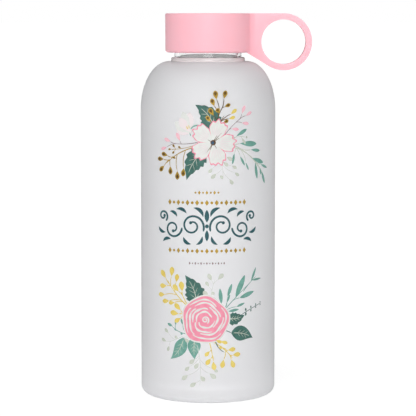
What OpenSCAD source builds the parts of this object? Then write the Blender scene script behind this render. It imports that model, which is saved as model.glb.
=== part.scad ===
// Glass water bottle with a screw cap that carries a finger loop.
// Millimetres. The origin is on the bottle's axis, in the plane it stands on, and +Z is up.
// The cap's loop points along +X, and its hole runs along Y.

/* [Bottle] */
// Outer diameter of the body
body_d = 76.2; // [70:0.2:84]
// Height of the glass, from the foot to the lip
glass_h = 209.7; // [200:0.1:230]
// Thickness of the body's wall
wall = 3.0; // [2.4:0.1:4]
// Thickness of the floor at its edge
floor_t = 6.0; // [4:0.5:9]
// Radius of the heel, where the side turns into the foot
heel_r = 4.6; // [3:0.1:8]

/* [Neck] */
// Outer diameter of the neck between its threads
neck_d = 37.8; // [37:0.1:38]
// Diameter of the bore through the neck
bore_d = 32.4; // [31:0.1:33]
// Diameter of the plain collar under the threads
collar_d = 41.4; // [40.4:0.1:42]
// Rise of the thread in one turn
thread_lead = 4.0; // [3.6:0.1:4.4]
// Turns of thread on the neck and in the cap
thread_turns = 1.5; // [1:0.25:1.75]

/* [Cap] */
// Outer diameter of the cap
cap_d = 48.0; // [47:0.1:52]
// Height of the cap
cap_h = 21.9; // [21:0.1:24]
// Thickness of the outer shell's side
shell_wall = 1.9; // [1.6:0.1:2.1]
// Thickness of the outer shell's top
shell_top = 2.4; // [2:0.1:3]
// Number of drive ribs between the liner and the shell
drive_ribs = 12; // [6:1:16]

/* [Loop] */
// Diameter of the hole in the finger loop
loop_hole_d = 25.0; // [22:0.1:26]
// Width of the loop's band
loop_band = 3.4; // [3:0.1:4.5]
// Thickness of the loop along Y
loop_t = 9.0; // [7:0.5:10]
// Distance of the loop's centre from the bottle's axis
loop_x = 42.4; // [41:0.1:46]

/* [Hidden] */
$fn = 96;

// Colours
frosted_glass = [0.88, 0.89, 0.90, 0.6];
shell_pink = "pink";
liner_pink = "lightpink";
silicone_white = "whitesmoke";

// Bottle heights and radii
body_r = body_d / 2;
neck_r = neck_d / 2;
bore_r = bore_d / 2;
collar_r = collar_d / 2;
ledge_z = glass_h - 21.2;         // flat ring at the top of the shoulder
shoulder_rx = 15.9;               // the shoulder is a quarter of an ellipse
shoulder_rz = 27.1;
shoulder_z = ledge_z - shoulder_rz;
collar_h = 2.2;
collar_round = 0.8;
lip_r = 1.0;
foot_r = body_r - 11;             // inner edge of the ring that it stands on
punt_h = 3.0;                     // rise of the hollow under the floor
floor_rise = 1.2;                 // the floor is this much thicker in the middle
inner_r = body_r - wall;
inner_heel_r = 8.0;
inner_shoulder_rz = 21.5;         // the glass is thickest under the collar
inner_neck_r = 3.0;               // rounding where the shoulder turns up into the bore
inner_neck_z = shoulder_z + inner_shoulder_rz + inner_neck_r;
arc_steps = 9;                    // straight steps in a quarter turn of a small rounding
shoulder_steps = 24;

// Threads: ridges of trapezoid section on one helix
thread_start_z = glass_h - 13.1;  // middle of the neck's ridge where it begins
neck_ridge_base = 2.2;
neck_ridge_crest = 1.2;
neck_crest_r = neck_r + 1.4;
cap_ridge_base = 1.8;
cap_ridge_crest = 0.9;
cap_crest_r = neck_r + 0.45;
ridge_root = 0.4;                 // how far a ridge is sunk into the wall it stands on
ridge_offset = -0.4125 * thread_lead;  // the cap's ridge lies this far below the neck's
fade_angle = 30;                  // a ridge rises to its full height over this angle
thread_step_angle = 7.5;

// Cap heights and radii
cap_r = cap_d / 2;
cap_z = glass_h - 16.3;           // bottom edge of the cap when it is closed
cap_top_z = cap_z + cap_h;
shell_bore_r = cap_r - shell_wall;
shell_ceiling_z = cap_top_z - shell_top;
cap_top_round = 0.8;
cap_bottom_round = 1.5;
rib_w = 1.6;
rib_depth = 0.5;
rib_gap = 0.1;                    // clearance of a rib in its groove
rib_z = cap_z + 6.5;              // lower end of the ribs
snap_h = 1.2;                     // snap bead that holds the liner in the shell
snap_depth = 0.3;
snap_slope = 0.25;                // rise of the bead's sloping sides
snap_z = cap_z + 4.0;
part_gap = 0.05;                  // clearance between the liner and the shell
cut_over = 1;                     // how far a cutting solid runs past the surface that it opens

// Liner: a threaded cup that fills the shell
liner_r = shell_bore_r - part_gap;
liner_bore_r = neck_crest_r + 0.3;
liner_z = cap_z + 0.6;
liner_chamfer = 0.4;
liner_roof_z = shell_ceiling_z - part_gap;
liner_top_t = 1.6;
liner_ceiling_z = shell_ceiling_z - liner_top_t;
plug_r = bore_r - 0.9;            // boss that centres the cap in the neck's bore
plug_wall = 1.4;
plug_z = liner_ceiling_z - 3.0;

// Gasket: a flat ring with two sealing ribs, around the plug
gasket_rib_h = 0.3;
gasket_rib_w = 0.8;
gasket_rib_pitch = 1.3;
gasket_chamfer = 0.3;
gasket_gap = 0.3;
gasket_t = liner_ceiling_z - glass_h - gasket_rib_h - part_gap;
gasket_outer_r = liner_bore_r - gasket_gap;
gasket_inner_r = plug_r + gasket_gap;
gasket_z = liner_ceiling_z - gasket_t;
gasket_top_z = liner_ceiling_z - 0.02;

// Loop: a flat ring, flush with the cap's top
loop_hole_r = loop_hole_d / 2;
loop_r = loop_hole_r + loop_band;
loop_z = cap_top_z - loop_r;
loop_edge = 1.0;                  // rounding of the loop's edges
loop_fillet_r = 4.5;              // rounding between the loop's faces and the cap's side

// Points of an arc of an ellipse about c, from angle a0 to a1 in degrees.
function arc(c, rx, ry, a0, a1, steps) = [
    for (i = [0 : steps])
        let (a = a0 + (a1 - a0) * i / steps)
        c + [rx * cos(a), ry * sin(a)]
];

// Height of the hollow under the floor at radius r.
function punt(r) = punt_h * (1 - pow(r / foot_r, 2));

// Outline of half the bottle, from the middle of the foot up the outside and down the inside.
function bottle_outline() = concat(
    [for (i = [0 : arc_steps]) let (r = foot_r * i / arc_steps) [r, punt(r)]],
    arc([body_r - heel_r, heel_r], heel_r, heel_r, -90, 0, arc_steps),
    arc([body_r - shoulder_rx, shoulder_z], shoulder_rx, shoulder_rz, 0, 90, shoulder_steps),
    [[collar_r, ledge_z]],
    arc(
        [collar_r - collar_round, ledge_z + collar_h - collar_round],
        collar_round, collar_round, 0, 90, arc_steps
    ),
    [[neck_r, ledge_z + collar_h]],
    arc([neck_r - lip_r, glass_h - lip_r], lip_r, lip_r, 0, 90, arc_steps),
    arc([bore_r + lip_r, glass_h - lip_r], lip_r, lip_r, 90, 180, arc_steps),
    arc([bore_r + inner_neck_r, inner_neck_z], inner_neck_r, inner_neck_r, 180, 270, arc_steps),
    arc([inner_r - shoulder_rx, shoulder_z], shoulder_rx, inner_shoulder_rz, 90, 0, shoulder_steps),
    arc([inner_r - inner_heel_r, floor_t + inner_heel_r], inner_heel_r, inner_heel_r, 0, -90, arc_steps),
    [[0, floor_t + floor_rise]]
);

// A helical ridge that stands on a wall of radius root_r and reaches crest_r. It may point in or out.
// Its ends fade into the wall.
module ridge(root_r, crest_r, base_w, crest_w, z0) {
    turn = 360 * thread_turns;
    steps = round(turn / thread_step_angle);
    buried_r = root_r + (root_r > crest_r ? ridge_root : -ridge_root);
    faded_r = (root_r + buried_r) / 2;
    angle = function(i) turn * i / steps;
    fade = function(i) min(1, angle(i) / fade_angle, (turn - angle(i)) / fade_angle);
    rim = function(i) faded_r + (crest_r - faded_r) * fade(i);
    section = function(i) [
        [buried_r, -base_w / 2],
        [rim(i), -crest_w / 2],
        [rim(i), crest_w / 2],
        [buried_r, base_w / 2]
    ];
    points = [
        for (i = [0 : steps], p = section(i))
            [p[0] * cos(angle(i)), p[0] * sin(angle(i)), z0 + thread_lead * angle(i) / 360 + p[1]]
    ];
    last = 4 * steps;
    out = root_r < crest_r;
    sides = [
        for (i = [0 : steps - 1], k = [0 : 3])
            let (a = 4 * i + k, b = 4 * i + (k + 1) % 4)
            each [[a, b, b + 4], [a, b + 4, a + 4]]
    ];
    ends = [[0, 3, 2], [0, 2, 1], [last, last + 1, last + 2], [last, last + 2, last + 3]];
    faces = concat(sides, ends);
    flip = [for (f = faces) [f[2], f[1], f[0]]];
    polyhedron(points, out ? faces : flip, convexity = 8);
}

// The glass: body, shoulder, collar, neck and its thread, in one piece.
module bottle() {
    color(frosted_glass) {
        rotate_extrude() polygon(bottle_outline());
        ridge(neck_r, neck_crest_r, neck_ridge_base, neck_ridge_crest, thread_start_z);
    }
}

// Outline of the cap's outside, as half a section.
function shell_outline() = concat(
    [[0, cap_z]],
    arc(
        [cap_r - cap_bottom_round, cap_z + cap_bottom_round],
        cap_bottom_round, cap_bottom_round, -90, 0, arc_steps
    ),
    arc([cap_r - cap_top_round, cap_top_z - cap_top_round], cap_top_round, cap_top_round, 0, 90, arc_steps),
    [[0, cap_top_z]]
);

// Side view of the loop and the web that joins it to the cap, drawn in X and Z.
module loop_side() {
    corner = [cap_r - cap_bottom_round - cut_over, cap_z];
    centre = [loop_x, loop_z];
    reach = norm(corner - centre);
    toward = atan2(corner[1] - centre[1], corner[0] - centre[0]);
    tangent_angle = toward + acos(loop_r / reach);
    touch = centre + loop_r * [cos(tangent_angle), sin(tangent_angle)];
    translate(centre) circle(loop_r);
    polygon([corner, touch, centre, [loop_x, cap_top_z], [corner[0], cap_top_z]]);
}

// Top view of the loop, with a fillet on each side where it meets the cap.
module loop_plan() {
    half = loop_t / 2;
    far_x = loop_x + loop_r + cut_over;
    fillet_x = sqrt(pow(cap_r + loop_fillet_r, 2) - pow(half + loop_fillet_r, 2));
    touch_x = fillet_x * cap_r / (cap_r + loop_fillet_r);
    touch_y = (half + loop_fillet_r) * cap_r / (cap_r + loop_fillet_r);
    difference() {
        polygon([
            [cap_r / 2, -touch_y], [touch_x, -touch_y], [fillet_x, -half], [far_x, -half],
            [far_x, half], [fillet_x, half], [touch_x, touch_y], [cap_r / 2, touch_y]
        ]);
        for (side = [-1, 1]) translate([fillet_x, side * (half + loop_fillet_r)]) circle(loop_fillet_r);
    }
}

// Solid that is taken away to leave the loop's hole, with its two mouths rounded.
module loop_hole_cutter() {
    mouth = loop_t / 2;
    edge_r = loop_hole_r + loop_edge;
    translate([loop_x, 0, loop_z]) rotate([90, 0, 0]) rotate_extrude() polygon(concat(
        [[0, -mouth - cut_over], [edge_r, -mouth - cut_over]],
        arc([edge_r, loop_edge - mouth], loop_edge, loop_edge, 270, 180, arc_steps),
        arc([edge_r, mouth - loop_edge], loop_edge, loop_edge, 180, 90, arc_steps),
        [[edge_r, mouth + cut_over], [0, mouth + cut_over]]
    ));
}

// The loop and its web, cut to both views. It reaches into the shell's wall.
module loop() {
    difference() {
        intersection() {
            translate([0, loop_t, 0]) rotate([90, 0, 0]) linear_extrude(2 * loop_t) loop_side();
            translate([0, 0, cap_z - loop_r]) linear_extrude(cap_h + loop_r) loop_plan();
        }
        loop_hole_cutter();
    }
}

// Grooves or ribs around the liner's side.
module drive_bars(w, r, z0, z1) {
    for (i = [0 : drive_ribs - 1])
        rotate(360 * (i + 0.5) / drive_ribs)
            translate([liner_r - cut_over, -w / 2, z0])
                cube([r - liner_r + cut_over, w, z1 - z0]);
}

// Outer shell with its loop, moulded as one piece.
module cap_shell() {
    color(shell_pink) difference() {
        union() {
            rotate_extrude() polygon(shell_outline());
            loop();
        }
        translate([0, 0, cap_z - cut_over])
            cylinder(r = shell_bore_r, h = shell_ceiling_z - cap_z + cut_over);
        drive_bars(rib_w + 2 * rib_gap, liner_r + rib_depth + rib_gap, rib_z - rib_gap, shell_ceiling_z);
        rotate_extrude() polygon([
            [shell_bore_r - cut_over, snap_z - rib_gap],
            [shell_bore_r, snap_z - rib_gap],
            [shell_bore_r + snap_depth, snap_z + snap_slope - rib_gap],
            [shell_bore_r + snap_depth, snap_z + snap_h - snap_slope + rib_gap],
            [shell_bore_r, snap_z + snap_h + rib_gap],
            [shell_bore_r - cut_over, snap_z + snap_h + rib_gap]
        ]);
    }
}

// Threaded liner: side, top and the plug that centres it in the neck.
module cap_liner() {
    color(liner_pink) {
        rotate_extrude() polygon([
            [liner_bore_r + liner_chamfer, liner_z],
            [liner_r - liner_chamfer, liner_z],
            [liner_r, liner_z + liner_chamfer],
            [liner_r, snap_z],
            [liner_r + snap_depth - rib_gap, snap_z + snap_slope],
            [liner_r + snap_depth - rib_gap, snap_z + snap_h - snap_slope],
            [liner_r, snap_z + snap_h],
            [liner_r, liner_roof_z],
            [0, liner_roof_z],
            [0, liner_ceiling_z],
            [plug_r - plug_wall, liner_ceiling_z],
            [plug_r - plug_wall, plug_z],
            [plug_r - liner_chamfer, plug_z],
            [plug_r, plug_z + liner_chamfer],
            [plug_r, liner_ceiling_z],
            [liner_bore_r, liner_ceiling_z],
            [liner_bore_r, liner_z + liner_chamfer]
        ]);
        drive_bars(rib_w, liner_r + rib_depth, rib_z, liner_roof_z - rib_gap);
        ridge(liner_bore_r, cap_crest_r, cap_ridge_base, cap_ridge_crest, thread_start_z + ridge_offset);
    }
}

// Silicone ring that the lip is pressed against.
module seal_gasket() {
    middle = (neck_r + bore_r) / 2;
    rib = function(r) [
        [r - gasket_rib_w / 2, gasket_z],
        [r - gasket_rib_w / 4, gasket_z - gasket_rib_h],
        [r + gasket_rib_w / 4, gasket_z - gasket_rib_h],
        [r + gasket_rib_w / 2, gasket_z]
    ];
    color(silicone_white) rotate_extrude() polygon(concat(
        [[gasket_inner_r, gasket_z + gasket_chamfer], [gasket_inner_r + gasket_chamfer, gasket_z]],
        rib(middle - gasket_rib_pitch / 2),
        rib(middle + gasket_rib_pitch / 2),
        [[gasket_outer_r - gasket_chamfer, gasket_z], [gasket_outer_r, gasket_z + gasket_chamfer]],
        [[gasket_outer_r, gasket_top_z], [gasket_inner_r, gasket_top_z]]
    ));
}

bottle();
cap_shell();
cap_liner();
seal_gasket();
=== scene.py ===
"""Frosted glass water bottle with printed flowers and a pink screw cap that has a finger loop.

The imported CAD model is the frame. Every visible piece is built here over its node, in the same place,
and the print is a set of thin ink and foil pieces that are wrapped round the glass.
"""
import logging
import math
from contextlib import contextmanager
from dataclasses import dataclass, field
from enum import Enum
from typing import Iterator

import bpy
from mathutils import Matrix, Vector


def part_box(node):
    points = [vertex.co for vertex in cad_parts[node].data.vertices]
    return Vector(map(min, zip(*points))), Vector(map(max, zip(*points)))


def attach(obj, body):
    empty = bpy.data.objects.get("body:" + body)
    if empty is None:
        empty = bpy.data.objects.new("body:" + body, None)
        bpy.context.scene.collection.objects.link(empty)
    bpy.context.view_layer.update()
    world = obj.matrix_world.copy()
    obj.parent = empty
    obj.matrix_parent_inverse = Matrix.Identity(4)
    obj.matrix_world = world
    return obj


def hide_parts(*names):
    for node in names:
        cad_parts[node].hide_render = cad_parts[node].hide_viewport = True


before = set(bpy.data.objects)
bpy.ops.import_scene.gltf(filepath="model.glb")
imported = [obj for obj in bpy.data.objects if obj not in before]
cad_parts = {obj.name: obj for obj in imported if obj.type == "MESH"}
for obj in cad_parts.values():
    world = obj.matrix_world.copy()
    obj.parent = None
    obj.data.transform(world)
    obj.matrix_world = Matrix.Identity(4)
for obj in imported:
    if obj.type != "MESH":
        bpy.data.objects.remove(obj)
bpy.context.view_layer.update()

LOG = logging.getLogger("bottle")
MM = 0.001
FULL_TURN = 2 * math.pi

Point = tuple[float, float]
Loop = list[Point]


# ---------------------------------------------------------------- drawing and mesh helpers


def arc(centre: Point, rx: float, ry: float, start: float, end: float, steps: int) -> Loop:
    """Points along an arc of an ellipse.

    Args:
        centre: The ellipse's centre.
        rx: Half of its width.
        ry: Half of its height.
        start: Angle of the first point, in degrees.
        end: Angle of the last point, in degrees.
        steps: Number of straight steps between them.

    Returns:
        The points, from start to end.
    """
    angles = [math.radians(start + (end - start) * i / steps) for i in range(steps + 1)]
    return [(centre[0] + rx * math.cos(a), centre[1] + ry * math.sin(a)) for a in angles]


def ring(centre: Point, r: float, steps: int) -> Loop:
    """Points round a whole circle, with no point twice."""
    return arc(centre, r, r, 0, 360, steps)[:-1]


def polar(centre: Point, r: float, angle: float) -> Point:
    """The point at a distance from a centre, in a direction in degrees."""
    return centre[0] + r * math.cos(math.radians(angle)), centre[1] + r * math.sin(math.radians(angle))


def select_only(obj: bpy.types.Object) -> None:
    """Makes an object the one that is selected and active.

    Args:
        obj: The object.
    """
    bpy.ops.object.select_all(action="DESELECT")
    obj.select_set(True)
    bpy.context.view_layer.objects.active = obj


@contextmanager
def editing(obj: bpy.types.Object, mode: str = "FACE") -> Iterator[bpy.types.Mesh]:
    """Edit mode on obj, with all of it selected.

    Args:
        obj: The mesh object to edit.
        mode: VERT, EDGE or FACE.

    Returns:
        The object's mesh, while the edit lasts.
    """
    select_only(obj)
    bpy.ops.object.mode_set(mode="EDIT")
    bpy.ops.mesh.select_mode(type=mode)
    bpy.ops.mesh.select_all(action="SELECT")
    try:
        yield obj.data
    finally:
        bpy.ops.object.mode_set(mode="OBJECT")


def settle(obj: bpy.types.Object) -> bpy.types.Object:
    """Puts an object's place, turn and size into its mesh.

    Args:
        obj: The mesh object.

    Returns:
        The same object.
    """
    select_only(obj)
    bpy.ops.object.transform_apply(location=True, rotation=True, scale=True)
    return obj


def join(objects: list[bpy.types.Object]) -> bpy.types.Object:
    """Joins objects into one.

    Args:
        objects: The mesh objects.

    Returns:
        The first of them, which holds them all.
    """
    bpy.ops.object.select_all(action="DESELECT")
    for obj in objects:
        obj.select_set(True)
    bpy.context.view_layer.objects.active = objects[0]
    if len(objects) > 1:
        bpy.ops.object.join()
    return objects[0]


def fill(obj: bpy.types.Object) -> None:
    """Fills obj's closed lines with faces."""
    with editing(obj, "EDGE"):
        bpy.ops.mesh.edge_face_add()


def thicken(obj: bpy.types.Object, offset: tuple[float, float, float]) -> None:
    """Makes obj's flat faces a solid that reaches an offset from them, in millimetres."""
    with editing(obj):
        bpy.ops.mesh.extrude_region_move(TRANSFORM_OT_translate={"value": [part * MM for part in offset]})


def pen(name: str, loops: list[Loop], closed: bool = True) -> bpy.types.Object:
    """Draws lines in the XZ plane and makes them a mesh.

    Args:
        name: Name of the new object.
        loops: The lines, each a list of (x, z) in millimetres.
        closed: Whether each line is joined to its own start.

    Returns:
        The mesh object.
    """
    bpy.ops.object.select_all(action="DESELECT")
    bpy.ops.object.add(type="CURVE")
    obj = bpy.context.object
    obj.name = obj.data.name = name
    obj.data.dimensions = "3D"
    for loop in loops:
        spline = obj.data.splines.new("POLY")
        spline.points.add(len(loop) - 1)
        for point, (x, z) in zip(spline.points, loop):
            point.co = (x * MM, z * MM, 0, 1)
        spline.use_cyclic_u = closed
    obj.rotation_euler[0] = math.pi / 2
    bpy.ops.object.convert(target="MESH")
    return settle(bpy.context.object)


def mend(obj: bpy.types.Object, distance: float = 1e-6) -> bpy.types.Object:
    """Merges doubled vertices and points the faces outward.

    Args:
        obj: The mesh object.
        distance: How far apart merged vertices may be, in metres.

    Returns:
        The same object.
    """
    with editing(obj):
        bpy.ops.mesh.remove_doubles(threshold=distance)
        bpy.ops.mesh.normals_make_consistent(inside=False)
    return obj


def revolve(name: str, profile: Loop, closed: bool, steps: int = 144) -> bpy.types.Object:
    """Spins a profile about the Z axis.

    Args:
        name: Name of the new object.
        profile: The (radius, height) points in millimetres.
        closed: True for a ring, and False for a profile that starts and ends on the axis.
        steps: Number of steps in the turn.

    Returns:
        The closed mesh, with its faces outward.
    """
    obj = pen(name, [profile], closed=closed)
    with editing(obj, "VERT"):
        bpy.ops.mesh.spin(steps=steps, angle=FULL_TURN, center=(0, 0, 0), axis=(0, 0, 1))
    return mend(obj)


def apply_modifiers(obj: bpy.types.Object) -> bpy.types.Object:
    """Applies all of an object's modifiers in their order.

    Args:
        obj: The mesh object.

    Returns:
        The same object.
    """
    select_only(obj)
    for modifier in list(obj.modifiers):
        bpy.ops.object.modifier_apply(modifier=modifier.name)
    return obj


def combine(obj: bpy.types.Object, tool: bpy.types.Object, operation: str) -> bpy.types.Object:
    """Joins, cuts or crosses obj with tool, and deletes tool.

    Args:
        obj: The object that is kept.
        tool: The object that shapes it.
        operation: UNION, DIFFERENCE or INTERSECT.

    Returns:
        obj, with the result in its mesh.
    """
    modifier = obj.modifiers.new("combine", "BOOLEAN")
    modifier.operation = operation
    modifier.solver = "EXACT"
    modifier.object = tool
    apply_modifiers(obj)
    bpy.data.objects.remove(tool, do_unlink=True)
    return obj


def smooth(obj: bpy.types.Object, degrees: float = 35) -> bpy.types.Object:
    """Shades an object smooth, except across its sharp edges.

    Args:
        obj: The mesh object.
        degrees: The least angle of a sharp edge.

    Returns:
        The same object.
    """
    select_only(obj)
    bpy.ops.object.shade_smooth_by_angle(angle=math.radians(degrees))
    return obj


# ---------------------------------------------------------------- materials


def linear(colour: str, alpha: float = 1.0) -> tuple[float, float, float, float]:
    """Turns an sRGB colour to linear light.

    Args:
        colour: The colour as hex, such as #FFB6C5.
        alpha: How opaque it is.

    Returns:
        Red, green, blue and alpha, from 0 to 1.
    """
    channels = [int(colour[i : i + 2], 16) / 255 for i in (1, 3, 5)]
    red, green, blue = [c / 12.92 if c <= 0.04045 else ((c + 0.055) / 1.055) ** 2.4 for c in channels]
    return red, green, blue, alpha


def add_node(tree: bpy.types.NodeTree, kind: str, settings: dict, links: dict) -> bpy.types.Node:
    """Adds a shader node.

    Args:
        tree: The material's node tree.
        kind: The node's type, without its ShaderNode prefix.
        settings: Values by name, for an input socket or, where there is none, a property.
        links: Output sockets by the name or number of the input that they feed.

    Returns:
        The new node.
    """
    node = tree.nodes.new("ShaderNode" + kind)
    for name, value in settings.items():
        if hasattr(node, name) and name not in node.inputs:
            setattr(node, name, value)
        else:
            node.inputs[name].default_value = value
    for name, socket in links.items():
        tree.links.new(socket, node.inputs[name])
    return node


def blank(name: str) -> tuple[bpy.types.Material, bpy.types.NodeTree, bpy.types.NodeSocket]:
    """A new material with only an output node.

    Args:
        name: The material's name.

    Returns:
        The material, its node tree and the output's surface socket.
    """
    material = bpy.data.materials.new(name)
    material.use_nodes = True
    material.node_tree.nodes.clear()
    output = add_node(material.node_tree, "OutputMaterial", {}, {})
    return material, material.node_tree, output.inputs["Surface"]


def principled(name: str, settings: dict) -> tuple[bpy.types.Material, bpy.types.NodeTree, bpy.types.Node]:
    """A new material with one Principled shader.

    Args:
        name: The material's name.
        settings: The shader's uniform values, by socket.

    Returns:
        The material, its node tree and the shader.
    """
    material, tree, surface = blank(name)
    shader = add_node(tree, "BsdfPrincipled", settings, {})
    tree.links.new(shader.outputs[0], surface)
    return material, tree, shader


def grain(tree: bpy.types.NodeTree, size_mm: float, depth_mm: float, strength: float) -> bpy.types.NodeSocket:
    """A fine random relief on the surface.

    Args:
        tree: The material's node tree.
        size_mm: Width of one grain.
        depth_mm: Height of the relief.
        strength: How much of it shows, from 0 to 1.

    Returns:
        The socket that gives the normal.
    """
    place = add_node(tree, "TexCoord", {}, {})
    noise = add_node(
        tree, "TexNoise", {"Scale": 1 / (size_mm * MM), "Detail": 2.0}, {"Vector": place.outputs["Object"]}
    )
    bump = add_node(
        tree, "Bump", {"Strength": strength, "Distance": depth_mm * MM}, {"Height": noise.outputs["Fac"]}
    )
    return bump.outputs["Normal"]


def varied(
    tree: bpy.types.NodeTree, size_mm: float, low: float, high: float
) -> bpy.types.NodeSocket:
    """A value that drifts over the surface.

    Args:
        tree: The material's node tree.
        size_mm: Width of one patch.
        low: The lowest value.
        high: The highest value.

    Returns:
        The socket that gives it.
    """
    place = add_node(tree, "TexCoord", {}, {})
    noise = add_node(
        tree, "TexNoise", {"Scale": 1 / (size_mm * MM), "Detail": 1.0}, {"Vector": place.outputs["Object"]}
    )
    spread = add_node(
        tree, "MapRange", {"From Min": 0.3, "From Max": 0.7, "To Min": low, "To Max": high},
        {"Value": noise.outputs["Fac"]},
    )
    return spread.outputs["Result"]


@dataclass(frozen=True)
class Glass:
    """Soda-lime glass, blown in a mould. Clear it shows sharp, bright edges and bends what is behind it.

    Acid etching makes its outside rough. The eye then sees no highlight and nothing behind it, only a
    soft pale glow that darkens to the sides. Where a mould seam or a thick rim blurs it, it is hazy.
    """

    name: str
    tint: str
    roughness: float
    clarity: float
    etched: bool = False

    def material(self) -> bpy.types.Material:
        """The glass as a Cycles material.

        Returns:
            The new material.
        """
        material, tree, shader = principled(
            self.name,
            {"Base Color": linear(self.tint), "IOR": 1.5, "Transmission Weight": self.clarity,
             "Roughness": self.roughness},
        )
        if self.etched:
            # an etched surface is a field of pits under 0.1 mm wide, drawn here at 0.35 mm
            tree.links.new(grain(tree, 0.35, 0.02, 0.25), shader.inputs["Normal"])
        return material


@dataclass(frozen=True)
class MouldedPlastic:
    """Polypropylene from a satin mould.

    The eye sees wide, soft highlights over an even colour. A little light goes into it and softens the
    edges of its shade.
    """

    name: str
    colour: str
    roughness: float
    grain_mm: float

    def material(self) -> bpy.types.Material:
        """The plastic as a Cycles material.

        Returns:
            The new material.
        """
        material, tree, shader = principled(
            self.name,
            {"Base Color": linear(self.colour), "IOR": 1.49, "Subsurface Weight": 0.2,
             "Subsurface Scale": 2.0 * MM, "Subsurface Radius": (1.0, 0.5, 0.45)},
        )
        gloss = varied(tree, 14, self.roughness - 0.03, self.roughness + 0.03)
        tree.links.new(gloss, shader.inputs["Roughness"])
        tree.links.new(grain(tree, self.grain_mm, 0.02, 0.3), shader.inputs["Normal"])
        return material


@dataclass(frozen=True)
class Silicone:
    """Platinum-cured silicone rubber. The eye sees a milky body, lit from inside, with a dull skin."""

    name: str
    colour: str
    roughness: float

    def material(self) -> bpy.types.Material:
        """The rubber as a Cycles material.

        Returns:
            The new material.
        """
        material, tree, shader = principled(
            self.name,
            {"Base Color": linear(self.colour), "IOR": 1.41, "Transmission Weight": 0.25,
             "Subsurface Weight": 0.3, "Subsurface Scale": 1.0 * MM},
        )
        gloss = varied(tree, 5, self.roughness - 0.05, self.roughness + 0.05)
        tree.links.new(gloss, shader.inputs["Roughness"])
        tree.links.new(grain(tree, 0.4, 0.01, 0.4), shader.inputs["Normal"])
        return material


@dataclass(frozen=True)
class ScreenInk:
    """Epoxy ink from a screen.

    The eye sees a flat, opaque colour with a satin sheen, a little mottled where the film is thin. With
    metal in it, the ink is a foil that catches the light.
    """

    name: str
    colour: str
    thin: str
    roughness: float = 0.45
    metal: float = 0.0

    def material(self) -> bpy.types.Material:
        """The ink as a Cycles material.

        Returns:
            The new material.
        """
        material, tree, shader = principled(self.name, {"Roughness": self.roughness, "Metallic": self.metal})
        ramp = add_node(tree, "ValToRGB", {}, {"Fac": varied(tree, 2.5, 0.0, 1.0)})
        ramp.color_ramp.elements[0].color = linear(self.colour)
        ramp.color_ramp.elements[1].color = linear(self.thin)
        tree.links.new(ramp.outputs["Color"], shader.inputs["Base Color"])
        # the screen's mesh is 0.1 mm wide, drawn here at 0.3 mm so that it shows
        tree.links.new(grain(tree, 0.3, 0.005, 0.3), shader.inputs["Normal"])
        return material


class Ink(Enum):
    """The colours of the print, each with the colour that it has where it is thin."""

    # pale inks, which stand out only a little from the frosted glass
    WHITE = ScreenInk("white_ink", "#DADCD8", "#D3D5D1")
    MIST = ScreenInk("mist_ink", "#B9BEB1", "#C4C8BD")
    BLUSH = ScreenInk("blush_ink", "#DDCBCF", "#D8CDD0")
    BUD = ScreenInk("bud_ink", "#E3D6D9", "#E2DADA")
    # pinks, for petals and their edges
    PETAL_PINK = ScreenInk("petal_pink_ink", "#E6ABB8", "#EBBCC6")
    ROSE = ScreenInk("rose_ink", "#DE7F97", "#E58FA3")
    # greens, for leaves and scrollwork
    TEAL = ScreenInk("teal_ink", "#2C584F", "#386A60")
    SAGE = ScreenInk("sage_ink", "#5A9083", "#6DA194")
    PETROL = ScreenInk("petrol_ink", "#0B464D", "#14545A")
    # fine dark lines
    TWIG = ScreenInk("twig_ink", "#755C60", "#8C7276")
    NAVY = ScreenInk("navy_ink", "#1E4560", "#28536C")
    # warm foils and a metallic yellow, for berries and rules; the bronze also serves as a painted dark
    # reflection in the middle of each gold berry
    BRONZE = ScreenInk("bronze_foil_and_painted_dark_reflection", "#4E3614", "#6A4C1E", 0.35, 0.5)
    GOLD = ScreenInk("gold_foil", "#A5842A", "#B99A3E", 0.35, 0.5)
    YELLOW = ScreenInk("yellow_gold_ink", "#D6BC52", "#DECA6C", 0.4, 0.1)


# ---------------------------------------------------------------- pieces


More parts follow.
